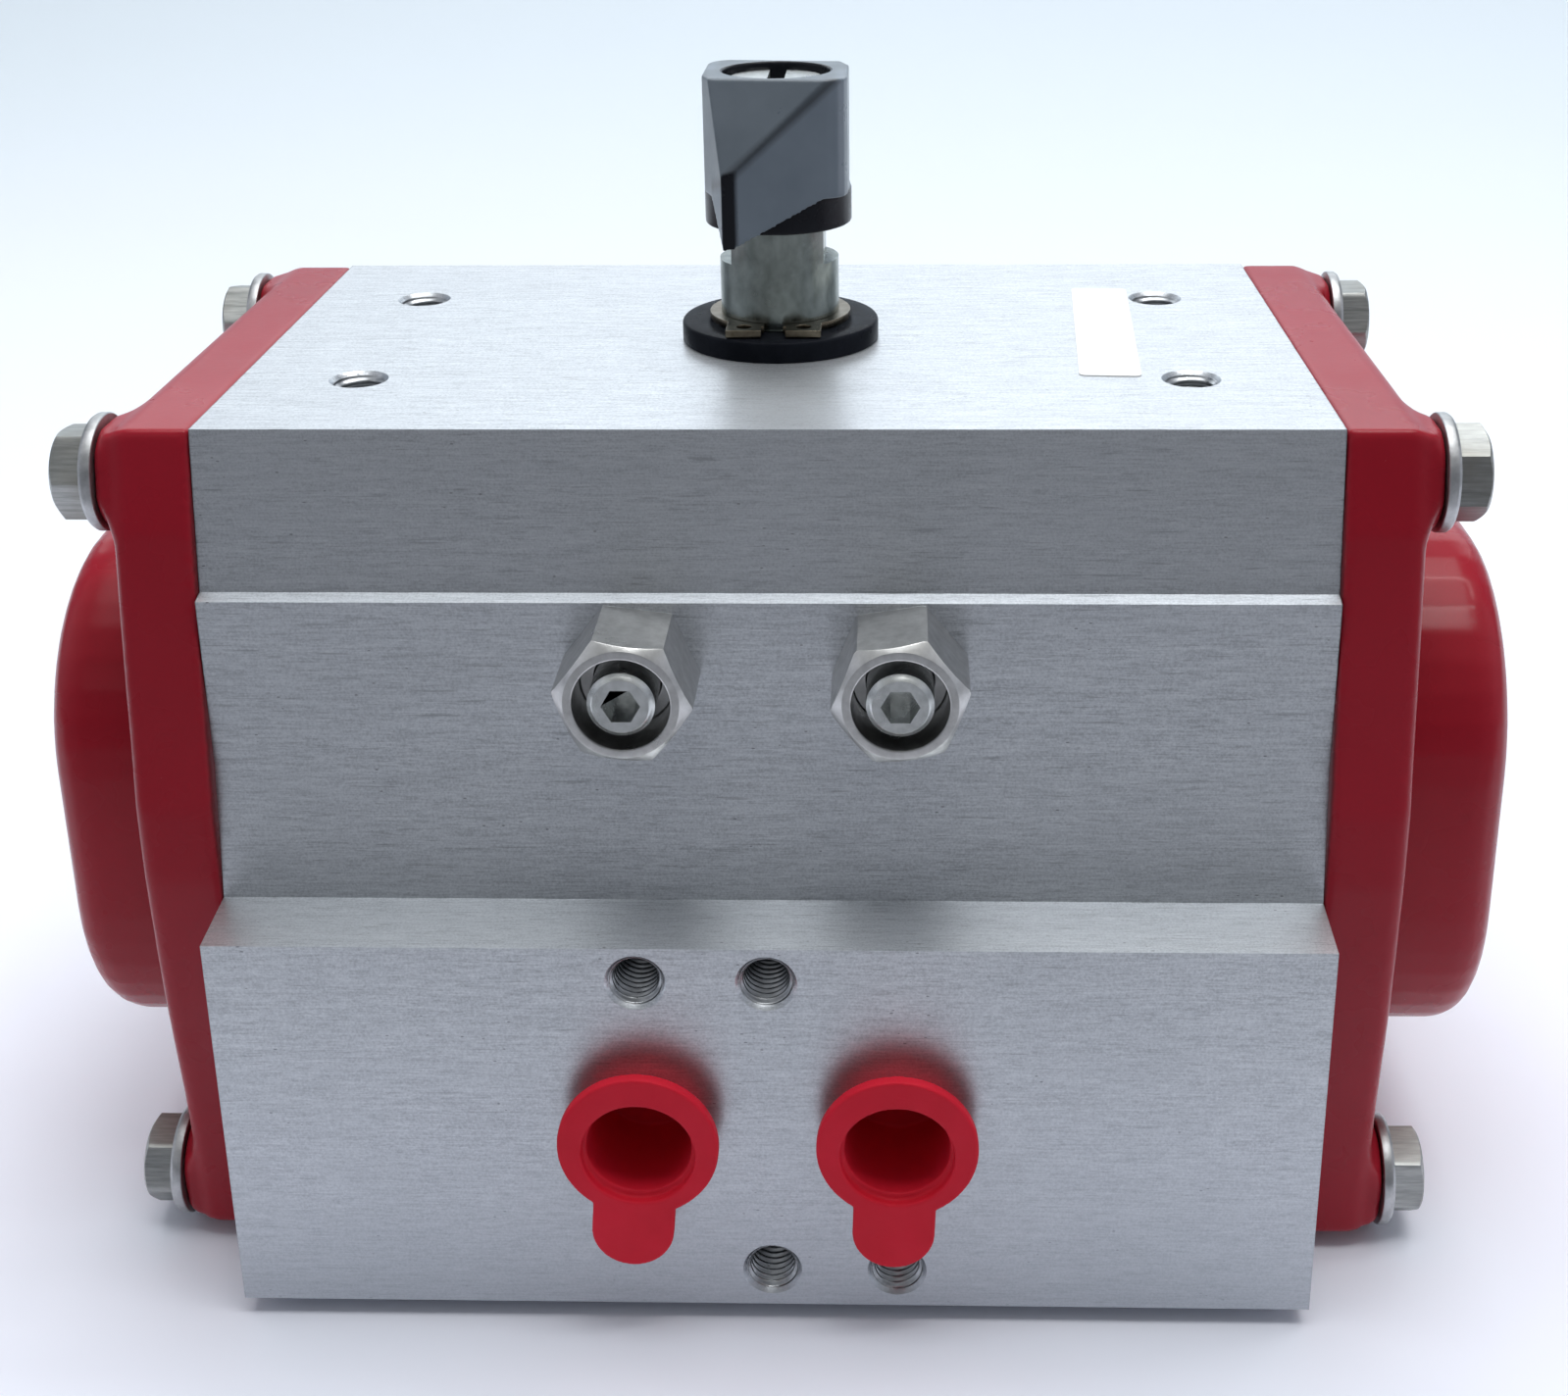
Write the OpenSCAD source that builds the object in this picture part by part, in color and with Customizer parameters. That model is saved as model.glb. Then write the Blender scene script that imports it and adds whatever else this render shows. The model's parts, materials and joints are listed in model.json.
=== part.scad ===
// Rack-and-pinion quarter-turn pneumatic actuator, double acting.
// Millimetres. Z is the shaft axis, X the cylinder axis, Z = 0 the mounting face.

/* [Housing] */
// Length of the extruded housing
body_len = 103.4; // [80:0.1:140]
// Height of the housing above the mounting face
body_h = 85.1; // [70:0.1:110]
// Front face of the interface pad, distance from the shaft axis
pad_y = 43.4; // [40:0.1:50]
// Top edge of the interface pad
pad_h = 39.7; // [36:0.1:44]
// Cylinder bore
bore_d = 63; // [50:0.5:64]
// Height of the cylinder axis
bore_z = 42.5; // [38:0.1:46]

/* [End caps] */
// Thickness of the cap flange
flange_t = 7.6; // [5:0.1:10]
// Height of the bolt bosses above the flange
boss_t = 1.5; // [1:0.1:4]
// Outer face of the domed cover, distance from the shaft axis
dome_x = 71.0; // [64:0.1:80]
// Half width of the domed cover
dome_a = 27.1; // [22:0.1:30]
// Corner radius of the domed cover
dome_r = 19.3; // [10:0.1:24]
// Height of the centre of the domed cover
dome_z = 40.2; // [36:0.1:46]
// Rounding of the cover's outer edge
dome_f = 3.5; // [1:0.1:6]
// Rounding of the flange's outer edge
flange_f = 1.2; // [0.4:0.1:2]
// Lower cap bolts, distance from the middle plane
bolt_y1 = 27.5; // [22:0.1:29]
// Upper cap bolts, distance from the middle plane
bolt_y2 = 26.2; // [22:0.1:28]
// Lower cap bolts, height
bolt_z1 = 4.2; // [4:0.1:12]
// Upper cap bolts, height
bolt_z2 = 79.6; // [70:0.1:81]

/* [Drive] */
// Gear module
gear_m = 1.25; // [1:0.05:2]
// Pinion teeth
gear_n = 16; // [12:2:24]
// Drive socket, across flats
socket_af = 11; // [9:1:14]
// Shaft end above the housing
shaft_top_d = 12; // [10:0.5:16]
// Width across the flats of the shaft end
shaft_flat = 9.2; // [8:0.1:11]
// Upper end of the shaft
shaft_top_z = 106; // [100:0.1:115]
// Radius of the stop cam
cam_r = 15.5; // [12:0.1:17]

/* [Travel stops] */
// Distance of each stop screw from the middle
stop_x = 12.2; // [10:0.1:16]
// Height of the stop screws
stop_z = 63.8; // [58:0.1:68]
// Front end of the lock nuts
nut_y = 42.7; // [40:0.1:50]
// Lock nut, across flats
nut_af = 10.9; // [10:0.1:13]

/* [Interfaces] */
// Top holes, spacing along the housing
top_sx = 80; // [60:1:90]
// Top holes, spacing across the housing
top_sy = 30; // [20:1:40]
// Threaded hole for an M5 screw
m5_d = 5; // [4:0.1:6]
// Ports, spacing
port_s = 24; // [20:1:30]
// Height of the ports
port_z = 20.1; // [16:0.1:24]
// Port hole
port_d = 11.8; // [8:0.1:13.2]
// Bolt circle of the mounting face
flange_pcd = 50; // [42:1:70]

/* [Hidden] */
hx = body_len/2;
br = bore_d/2;
fx = hx + flange_t;
bx = fx + boss_t;
pr = gear_m*gear_n/2;
pitch = PI*gear_m;
head_in = 21.6;
head_out = 32.1;
head_r = br - 0.2;
rack_end = 21.2;
rack_add = 1.1;
rack_ded = 1.5;
chan_y = 32.3;
chan_z = 27;
plug_y = 47;

// Outline of the cap in the YZ plane, upper right half first
half = [[32.6,0],[33,7.1],[33.7,15.6],[34.6,22],[35.3,27.8],[35.8,33.8],[36.3,42],[36.2,49.5],
        [35.4,55.3],[34.7,61.5],[33.8,68],[32.6,76],[30.4,85]];
function flip(a) = [for (i = [len(a)-1:-1:0]) [-a[i][0], a[i][1]]];
cap_outline = concat(half, flip(half));
// Outline drawn in by t on every side
function inset(a, t) = [for (p = a) [p[0]*(36.3-t)/36.3, bore_z + (p[1]-bore_z)*(bore_z-t)/bore_z]];
// Slice k of n of a rounded edge that draws in towards the outer face
module step_in(x, f, k, n) let(t0 = f*(1-cos(90*k/n)), t1 = f*(1-cos(90*(k+1)/n)))
  translate([x+f*sin(90*k/n)-0.01, 0, bore_z]) rotate([90,0,90])
  linear_extrude(height = f*(sin(90*(k+1)/n)-sin(90*k/n))+0.01,
    scale = [(36.3-t1)/(36.3-t0), (bore_z-t1)/(bore_z-t0)]) children();
// Rounded square
function rsq(a, r, t=0, n=10) = let(rr = max(r-t,0.5), c = a-t-rr)
  [for (k = [0:3]) for (i = [0:n]) let(u = 90*k + 90*i/n, s = [[1,1],[-1,1],[-1,-1],[1,-1]][k])
    [s[0]*c + rr*cos(u), s[1]*c + rr*sin(u)]];

module along_x(x0, x1) translate([x0,0,0]) rotate([90,0,90]) linear_extrude(height = x1-x0) children();
module cyl_x(x0, x1, r, y=0, z=0, fn=64) translate([x0,y,z]) rotate([0,90,0]) cylinder(r=r, h=x1-x0, $fn=fn);
module cyl_y(y0, y1, r, x=0, z=0, fn=48) translate([x,y0,z]) rotate([-90,0,0]) cylinder(r=r, h=y1-y0, $fn=fn);
module cyl_z(z0, z1, r, x=0, y=0, fn=64) translate([x,y,z0]) cylinder(r=r, h=z1-z0, $fn=fn);
module cone_z(z0, z1, r0, r1, x=0, y=0, fn=48) translate([x,y,z0]) cylinder(r1=r0, r2=r1, h=z1-z0, $fn=fn);
module cone_y(y0, y1, r0, r1, x=0, z=0, fn=48) translate([x,y0,z]) rotate([-90,0,0]) cylinder(r1=r0, r2=r1, h=y1-y0, $fn=fn);
module torus(R, r, fn=72) rotate_extrude($fn=fn) translate([R,0]) circle(r=r, $fn=20);
module torus_x(x, R, r, y=0, z=0) translate([x,y,z]) rotate([0,90,0]) torus(R, r);
module bolt_spots() for (s = [-1,1]) for (p = [[bolt_y1,bolt_z1],[bolt_y2,bolt_z2]]) translate([0, s*p[0], p[1]]) children();

// ---------------------------------------------------------------- housing
module body_housing() color([0.74,0.76,0.79]) difference() {
  along_x(-hx, hx) polygon([[-30.4,body_h],[-32.6,70.2],[-34,69.8],[-34,53.2],[-35.8,40.3],
    [-pad_y,pad_h],[-pad_y,0],[32.6,0],[33,7.1],[33.7,15.6],[35.3,27.8],[35.8,40.3],
    [34,53.2],[34,69.8],[32.6,70.2],[30.4,body_h]]);
  cyl_x(-hx-1, hx+1, br, 0, bore_z, 128);
  // shaft passages with their bush seats
  cyl_z(60, 74.5, 11);
  cyl_z(70, 80.5, 9.5);
  cyl_z(79, body_h+1, 8.1);
  cyl_z(-1, 20, 10.1);
  cyl_z(4, 20, 12);
  // seat of the centring ring
  difference() { cyl_z(-1, 2, 17.22, fn=96); cyl_z(-2, 3, 14.98, fn=96); }
  // accessory holes on top
  for (x = [-1,1]) for (y = [-1,1]) {
    cyl_z(body_h-9, body_h+1, m5_d/2, x*top_sx/2, y*top_sy/2, 40);
    cone_z(body_h-0.35, body_h+0.05, m5_d/2, m5_d/2+0.4, x*top_sx/2, y*top_sy/2);
  }
  // threaded holes of the mounting face
  for (a = [45:90:315]) rotate([0,0,a]) cyl_z(-1, 9, 3, flange_pcd/2, 0, 40);
  // interface pad: valve screws and the two ports
  for (p = [[-12,16],[0,16],[0,-16],[12,-16]]) {
    cyl_y(-pad_y-1, -pad_y+8, m5_d/2, p[0], port_z+p[1], 40);
    cone_y(-pad_y-0.05, -pad_y+0.35, m5_d/2+0.4, m5_d/2, p[0], port_z+p[1]);
  }
  cyl_y(-pad_y-1, -pad_y+9, port_d/2, -port_s/2, port_z);
  cyl_y(-pad_y+8, -18, 2.5, -port_s/2, port_z);
  cyl_y(-pad_y-1, -pad_y+13.5, port_d/2, port_s/2, port_z);
  cyl_x(-hx-1, hx+1, 1.75, -chan_y, chan_z, 32);
  // travel stop screws
  for (s = [-1,1]) {
    cyl_y(-40, -15, 3.05, s*stop_x, stop_z, 40);
    cyl_y(-35, -32, 4.7, s*stop_x, stop_z, 40);
  }
  // cap bolt holes
  bolt_spots() for (s = [0,180]) rotate([0,0,s]) cyl_x(hx-17, hx+1, 2.5, fn=40);
}

module centring_ring() color([0.72,0.73,0.75]) difference() {
  union() {
    cyl_z(-0.11, 1.95, 17.2, fn=96);
    cyl_z(-1.6, -0.1, 17.5, fn=96);
    cone_z(-2, -1.59, 17.1, 17.5, fn=96);
  }
  cyl_z(-3, 3, 15, fn=96);
}

// ---------------------------------------------------------------- end caps
module cap_right() difference() {
  union() {
    along_x(hx, fx-flange_f) polygon(cap_outline);
    for (k = [0:1]) step_in(fx-flange_f, flange_f, k, 2) polygon([for (p = inset(cap_outline, flange_f*(1-cos(45*k)))) [p[0], p[1]-bore_z]]);
    // bolt bosses with their fillets
    intersection() {
      along_x(hx, bx+1) polygon(inset(cap_outline, 0.5));
      bolt_spots() union() {
        cyl_x(fx-1, bx, 5.1, fn=48);
        translate([fx-0.01,0,0]) rotate([0,90,0]) cylinder(r1=7.4, r2=6.2, h=0.36, $fn=48);
        translate([fx+0.34,0,0]) rotate([0,90,0]) cylinder(r1=6.2, r2=5.5, h=0.42, $fn=48);
        translate([fx+0.75,0,0]) rotate([0,90,0]) cylinder(r1=5.5, r2=5.1, h=0.6, $fn=48);
      }
    }
    // domed cover
    translate([0,0,dome_z]) {
      along_x(fx-1, dome_x-dome_f) polygon(rsq(dome_a, dome_r));
      for (k = [0:3]) translate([dome_x-dome_f+dome_f*sin(22.5*k)-0.01,0,0]) rotate([90,0,90])
        linear_extrude(height=dome_f*(sin(22.5*(k+1))-sin(22.5*k))+0.01,
          scale=(dome_a-dome_f*(1-cos(22.5*(k+1))))/(dome_a-dome_f*(1-cos(22.5*k))))
          polygon(rsq(dome_a, dome_r, dome_f*(1-cos(22.5*k))));
    }
    // pilot in the cylinder bore
    cyl_x(hx-2.5, hx+1, br-0.03, 0, bore_z, 128);
  }
  // pilot groove of the seal
  difference() {
    cyl_x(hx-1.9, hx-0.1, br+1, 0, bore_z, 96);
    cyl_x(hx-2.5, hx+1, br-1.65, 0, bore_z, 96);
  }
  // air space
  cyl_x(hx-3, hx+4.5, 28.5, 0, bore_z, 96);
  along_x(hx+4.4, dome_x-3.2) translate([0,dome_z]) polygon(rsq(dome_a-3, dome_r-3));
  // air passage from the channel to the air space
  cyl_x(hx-3, hx+2.6, 1.75, -chan_y, chan_z, 32);
  cyl_x(hx-1, hx+0.7, 2.55, -chan_y, chan_z, 32);
  translate([hx+0.9,-chan_y,chan_z-1.5]) cube([1.7, 12, 3]);
  bolt_spots() cyl_x(hx-1, bx+1, 2.75, fn=40);
}
module end_cap_right() color([0.62,0.07,0.10]) cap_right();
module end_cap_left() color([0.62,0.07,0.10]) mirror([1,0,0]) cap_right();
module cap_seal_right() color([0.05,0.05,0.05]) torus_x(hx-1.0, br-0.83, 0.8, 0, bore_z);
module cap_seal_left() color([0.05,0.05,0.05]) torus_x(-hx+1.0, br-0.83, 0.8, 0, bore_z);
module channel_seals() color([0.05,0.05,0.05])
  for (s = [-1,1]) torus_x(s*(hx+0.36), 2.15, 0.34, -chan_y, chan_z);

module cap_bolt() {
  cyl_x(hx-16, bx+1.3, 2.45, fn=40);
  translate([bx+1.2,0,0]) rotate([0,90,0]) cylinder(d=8/cos(30), h=2.75, $fn=6);
  translate([bx+3.94,0,0]) rotate([0,90,0]) cylinder(r1=4.35, r2=3.7, h=0.46, $fn=48);
}
module cap_bolts_right() color([0.72,0.71,0.68]) bolt_spots() cap_bolt();
module cap_bolts_left() color([0.72,0.71,0.68]) bolt_spots() rotate([0,0,180]) cap_bolt();
module cap_washer() difference() { cyl_x(bx, bx+1.2, 5.5, fn=64); cyl_x(bx-1, bx+2, 2.65, fn=40); }
module cap_washers_right() color([0.78,0.78,0.77]) bolt_spots() cap_washer();
module cap_washers_left() color([0.78,0.78,0.77]) bolt_spots() rotate([0,0,180]) cap_washer();

// ---------------------------------------------------------------- shaft
function inv(a) = tan(a) - a*PI/180;
rb = pr*cos(20);
tip_r = pr + gear_m;
root_r = pr - 1.25*gear_m;
half_a = 90/gear_n - 0.45;
function ha(r) = half_a + (inv(20) - inv(acos(min(1, rb/r))))*180/PI;
function flank() = [for (i = [0:5]) let(r = rb + (tip_r-rb)*i/5) [r, ha(r)]];
pinion_pts = [for (k = [0:gear_n-1]) let(c = 90 + 180/gear_n + k*360/gear_n)
  each concat([[root_r*cos(c-ha(rb)-0.9), root_r*sin(c-ha(rb)-0.9)]],
    [for (f = flank()) [f[0]*cos(c-f[1]), f[0]*sin(c-f[1])]],
    [for (i = [5:-1:0]) let(f = flank()[i]) [f[0]*cos(c+f[1]), f[0]*sin(c+f[1])]],
    [[root_r*cos(c+ha(rb)+0.9), root_r*sin(c+ha(rb)+0.9)]])];

module pinion_shaft() color([0.60,0.61,0.57]) difference() {
  union() {
    cyl_z(0.3, 13, 10);
    cyl_z(12.9, 31.1, 9.4);
    translate([0,0,31]) linear_extrude(height=23) polygon(pinion_pts);
    cyl_z(53.9, 72.5, 8);
    // stop cam, a quarter sector between its two flat faces
    intersection() { cyl_z(59.5, 68, cam_r, fn=96); translate([-5,-5,59]) cube([30,30,10]); }
    cyl_z(59.5, 68, 9);
    cyl_z(69.5, 72.5, 10.5);
    cyl_z(72.4, 85, 8);
    difference() {
      cyl_z(84.9, shaft_top_z-4.5, shaft_top_d/2);
      for (s = [-1,1]) translate([s*(shaft_flat/2+5)-5, -10, 93.6]) cube([10, 20, 20]);
    }
    cyl_z(shaft_top_z-4.6, shaft_top_z-0.5, shaft_top_d/2-1.5);
    cone_z(shaft_top_z-0.51, shaft_top_z, shaft_top_d/2-1.5, shaft_top_d/2-2);
  }
  // drive socket, double square
  for (a = [0,45]) rotate([0,0,a]) translate([-socket_af/2,-socket_af/2,-1]) cube([socket_af, socket_af, 15]);
  // tapped hole for the indicator screw
  cyl_z(90, shaft_top_z+1, 3, fn=40);
  // grooves: lower seal, upper seal, snap ring
  difference() { cyl_z(1.2, 3.2, 12); cyl_z(1, 4, 8.3); }
  difference() { cyl_z(81.4, 83.4, 10); cyl_z(81, 84, 6.4); }
  difference() { cyl_z(87.33, 88.1, 10); cyl_z(87, 89, 5.75); }
}
module lower_shaft_seal() color([0.05,0.05,0.05]) translate([0,0,2.2]) torus(9.18, 0.86);
module upper_shaft_seal() color([0.05,0.05,0.05]) translate([0,0,82.4]) torus(7.24, 0.81);
module lower_shaft_bush() color([0.85,0.84,0.80]) difference() {
  cyl_z(4.05, 10.5, 11.98); cyl_z(3, 12, 10.05); }
module upper_shaft_bush() color([0.85,0.84,0.80]) difference() {
  cyl_z(74.6, 80.45, 9.48); cyl_z(74, 82, 8.05); }
module inner_thrust_washer() color([0.85,0.84,0.80]) difference() {
  cyl_z(72.6, 74.45, 10.8); cyl_z(72, 75, 8.1); }
module top_thrust_washer() color([0.03,0.03,0.03]) difference() {
  union() { cyl_z(body_h, body_h+1.95, 10, fn=96); cone_z(body_h+1.94, body_h+2.2, 10, 9.75, fn=96); }
  cyl_z(body_h-1, body_h+3, 6.05, fn=64);
}
module snap_ring() color([0.72,0.62,0.36]) difference() {
  union() {
    cyl_z(87.36, 88.06, 7.15, 0, 0.05, 96);
    for (s = [-1,1]) translate([s*2.95-1.75-0.3, -8.5, 87.36]) cube([3.5, 4.5, 0.7]);
  }
  cyl_z(87, 89, 5.8);
  translate([-1.3,-10,87]) cube([1.9, 8, 2]);
  for (s = [-1,1]) cyl_z(87, 89, 0.75, s*2.95-0.3, -7.0, 24);
}

// ---------------------------------------------------------------- indicator
wing = [[-7.1,-3.1],[-4.95,-9.5],[-3.9,-9.5],[5.2,-6.72],[6.2,-6.25],[6.8,-5.5],[7.1,-4.4],
        [7.1,3.1],[4.95,9.5],[3.9,9.5],[-5.2,6.72],[-6.2,6.25],[-6.8,5.5],[-7.1,4.4]];
wing_turn = -6.3;
module position_indicator() color([0.04,0.04,0.045]) difference() {
  union() {
    cyl_z(97.3, 100.8, 7.35, fn=96);
    difference() {
      intersection() {
        translate([0,0,96.3]) linear_extrude(height=16) polygon(wing);
        // the two ramps, one per pointer, and the slanted undersides
        rotate([0,0,wing_turn]) rotate([90,0,90]) translate([0,0,-12]) linear_extrude(height=24)
          polygon([[-11,95],[-11,101.17],[-6.16,112.3],[6.16,112.3],[11,101.17],[11,95],
                   [9.9,96.3],[6.1,100.9],[6.1,97.4],[-6.1,97.4],[-6.1,100.9],[-9.9,96.3]]);
      }
      // clears the collar beside the pointers
      difference() {
        rotate([0,0,wing_turn]) translate([-12,-6.11,95]) cube([24,12.22,5.8]);
        cyl_z(94, 102, 7.1, fn=96);
      }
    }
  }
  cyl_z(108, 113, 5.3, fn=64);
  cyl_z(100, 110, 3.3, fn=40);
  intersection() { cyl_z(96, shaft_top_z-4.4, 6.1); translate([-shaft_flat/2-0.06,-10,95]) cube([shaft_flat+0.12,20,20]); }
  cyl_z(100, shaft_top_z+0.1, shaft_top_d/2-1.4);
}
module indicator_screw() color([0.80,0.80,0.78]) difference() {
  union() {
    cyl_z(108.02, 111.3, 4.85); cone_z(111.29, 111.6, 4.85, 4.55);
    cyl_z(93, 108.5, 2.95, fn=40);
  }
  translate([-0.85,-6,110.2]) cube([1.7,12,3]);
}

// ---------------------------------------------------------------- pistons
rt = pitch/4 - 0.05;
k20 = tan(20);
rack_pts = concat([[-12, pr+rack_ded], [-12, 20], [rack_end, 20], [rack_end, pr+rack_ded]],
  [for (k = [5:-1:-2]) each [[min(rack_end, k*pitch + rt + rack_ded*k20), pr+rack_ded],
    [k*pitch + rt - rack_add*k20, pr-rack_add],
    [k*pitch - rt + rack_add*k20, pr-rack_add],
    [k*pitch - rt - rack_ded*k20, pr+rack_ded]]]);
module piston() difference() {
  union() {
    cyl_x(-head_out, -head_in, head_r, 0, bore_z, 96);
    translate([0,0,bore_z-9]) linear_extrude(height=18) polygon(rack_pts);
    intersection() {
      cyl_x(-head_in-1, rack_end, 28, 0, bore_z, 96);
      union() {
        translate([-head_in-1, pr+rack_ded+0.01, bore_z-9]) cube([head_in+1+rack_end, 30, 18]);
        translate([-head_in-1, pr+rack_ded+0.01, bore_z-13]) cube([9, 30, 26]);
      }
    }
  }
  // seal and guide ring grooves
  difference() { cyl_x(-30.5, -27.5, br+1, 0, bore_z, 96); cyl_x(-31, -27, 28.6, 0, bore_z, 96); }
  difference() { cyl_x(-26, -22.5, br+1, 0, bore_z, 96); cyl_x(-27, -22, 29.7, 0, bore_z, 96); }
  // lightening recess in the pressure face
  cyl_x(-head_out-1, -head_out+4.5, 22, 0, bore_z, 96);
}
module piston_left() color([0.70,0.71,0.73]) piston();
module piston_right() color([0.70,0.71,0.73]) rotate([0,0,180]) piston();
module p_seal() torus_x(-29, 30.04, 1.4, 0, bore_z);
module piston_seal_left() color([0.05,0.05,0.05]) p_seal();
module piston_seal_right() color([0.05,0.05,0.05]) rotate([0,0,180]) p_seal();
module p_guide() difference() { cyl_x(-25.95, -22.55, br-0.05, 0, bore_z, 128); cyl_x(-27, -22, 29.72, 0, bore_z, 96); }
module piston_guide_ring_left() color([0.85,0.84,0.80]) p_guide();
module piston_guide_ring_right() color([0.85,0.84,0.80]) rotate([0,0,180]) p_guide();
module p_pad() intersection() {
  difference() { cyl_x(-12, 18, br-0.05, 0, bore_z, 128); cyl_x(-13, 19, 28.02, 0, bore_z, 96); }
  translate([-12, 20, bore_z-7]) cube([30, 15, 14]);
}
module rack_pad_left() color([0.85,0.84,0.80]) p_pad();
module rack_pad_right() color([0.85,0.84,0.80]) rotate([0,0,180]) p_pad();

// ---------------------------------------------------------------- travel stops
module stop_screw(x) difference() {
  union() {
    cone_y(-42.9, -42.4, 2.5, 3, x, stop_z);
    cyl_y(-42.41, -6.2, 3, x, stop_z);
    cone_y(-6.21, -5.3, 3, 2.4, x, stop_z);
  }
  translate([x,-44,stop_z]) rotate([-90,0,0]) cylinder(d=3/cos(30), h=4.5, $fn=6);
}
module stop_screw_left() color([0.78,0.80,0.80]) stop_screw(-stop_x);
module stop_screw_right() color([0.78,0.80,0.80]) stop_screw(stop_x);
module stop_nut(x, a) difference() {
  intersection() {
    translate([x,-nut_y,stop_z]) rotate([-90,0,0]) rotate([0,0,a]) cylinder(d=nut_af/cos(30), h=nut_y-34.02, $fn=6);
    union() {
      cone_y(-nut_y, -nut_y+1.0, nut_af/2, nut_af/2+1.05, x, stop_z, 64);
      cyl_y(-nut_y+0.99, -34.02, nut_af/2+1.05, x, stop_z, 64);
    }
  }
  cyl_y(-nut_y-1, -33, 3.1, x, stop_z);
  cyl_y(-nut_y-1, -nut_y+5.2, 4.3, x, stop_z);
}
module stop_nut_left() color([0.70,0.70,0.69]) stop_nut(-stop_x, 7.5);
module stop_nut_right() color([0.70,0.70,0.69]) stop_nut(stop_x, -8.5);
module stop_seals() color([0.05,0.05,0.05]) for (s = [-1,1])
  translate([s*stop_x, -33, stop_z]) rotate([90,0,0]) torus(3.88, 0.78, 48);

// ---------------------------------------------------------------- port plugs
module port_plug(x, turn) difference() {
  union() {
    cyl_y(-plug_y, -plug_y+1.15, 7.5, x, port_z+0.5, 72);
    cyl_y(-plug_y+1.14, -pad_y-0.02, 6.05, x, port_z+0.1, 72);
    cyl_y(-pad_y-0.03, -35.2, 5.8, x, port_z, 72);
    // pull tab
    translate([x,0,port_z+0.5]) rotate([0,turn,0]) {
      translate([-3.85, -plug_y, -9.3]) cube([7.7, 1.1, 9.3]);
      cyl_y(-plug_y, -plug_y+1.1, 3.85, 0, -9.3, 48);
    }
  }
  cyl_y(-plug_y-1, -plug_y+0.9, 5.3, x, port_z-0.2, 72);
  cyl_y(-plug_y-1, -36.2, 4.9, x, port_z+0.05, 72);
}
module port_plug_left() color([0.75,0.03,0.09]) port_plug(-port_s/2, 4.9);
module port_plug_right() color([0.75,0.03,0.09]) port_plug(port_s/2, 2.2);

// ---------------------------------------------------------------- blank label
module serial_label() color([0.94,0.94,0.93]) translate([33.3,2.3,body_h]) rotate([0,0,-3.2])
  linear_extrude(height=0.12) union() {
    square([4.6,33.2], center=true);
    square([6,31.8], center=true);
    for (x = [-2.3,2.3]) for (y = [-15.9,15.9]) translate([x,y]) circle(r=0.7, $fn=24);
  }

body_housing();
end_cap_left();
end_cap_right();
cap_seal_left();
cap_seal_right();
channel_seals();
cap_bolts_left();
cap_bolts_right();
cap_washers_left();
cap_washers_right();
pinion_shaft();
upper_shaft_bush();
lower_shaft_bush();
upper_shaft_seal();
lower_shaft_seal();
inner_thrust_washer();
top_thrust_washer();
snap_ring();
position_indicator();
indicator_screw();
piston_left();
piston_right();
piston_seal_left();
piston_seal_right();
piston_guide_ring_left();
piston_guide_ring_right();
rack_pad_left();
rack_pad_right();
stop_screw_left();
stop_screw_right();
stop_nut_left();
stop_nut_right();
stop_seals();
port_plug_left();
port_plug_right();
serial_label();
centring_ring();
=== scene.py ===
import bpy, bmesh, math, json, random
from mathutils import Vector, Matrix


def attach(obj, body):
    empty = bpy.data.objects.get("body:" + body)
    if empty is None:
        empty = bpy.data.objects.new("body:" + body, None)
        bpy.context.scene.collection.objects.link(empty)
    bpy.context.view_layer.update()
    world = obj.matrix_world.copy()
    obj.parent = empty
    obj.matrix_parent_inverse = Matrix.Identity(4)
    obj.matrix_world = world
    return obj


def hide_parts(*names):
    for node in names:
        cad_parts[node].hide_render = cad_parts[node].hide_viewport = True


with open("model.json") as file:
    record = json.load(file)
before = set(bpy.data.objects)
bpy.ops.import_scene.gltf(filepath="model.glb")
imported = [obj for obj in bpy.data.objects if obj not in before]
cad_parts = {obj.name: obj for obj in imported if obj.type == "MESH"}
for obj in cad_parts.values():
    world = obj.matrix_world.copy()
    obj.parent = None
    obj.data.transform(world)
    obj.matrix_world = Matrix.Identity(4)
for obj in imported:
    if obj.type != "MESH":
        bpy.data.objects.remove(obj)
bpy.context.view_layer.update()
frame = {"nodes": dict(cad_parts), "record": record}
nodes = frame["nodes"]
MM = 0.001
scene = bpy.context.scene
scene.view_settings.view_transform = "Standard"
scene.view_settings.look = "None"
scene.view_settings.exposure = 0.0
scene.view_settings.gamma = 1.0

# ------------------------------------------------------------------ camera
yaw, pitch, roll = math.radians(-1.604), math.radians(19.906), math.radians(-0.495)
fwd = Vector((math.sin(yaw) * math.cos(pitch), math.cos(yaw) * math.cos(pitch), -math.sin(pitch)))
right = Vector((math.cos(yaw), -math.sin(yaw), 0.0))
up = right.cross(fwd)
r2 = math.cos(roll) * right + math.sin(roll) * up
u2 = -math.sin(roll) * right + math.cos(roll) * up
cam_data = bpy.data.cameras.new("camera")
cam = bpy.data.objects.new("camera", cam_data)
scene.collection.objects.link(cam)
cam_data.sensor_fit = "HORIZONTAL"
cam_data.sensor_width = 36.0
cam_data.lens = 36.0 * 2137.45 / 1599.0
cam_data.shift_x = (799.5 - 855.36) / 1599.0
cam_data.shift_y = (495.37 - 712.0) / 1599.0
cam_data.clip_start, cam_data.clip_end = 0.01, 20.0
m = Matrix.Identity(4)
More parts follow.
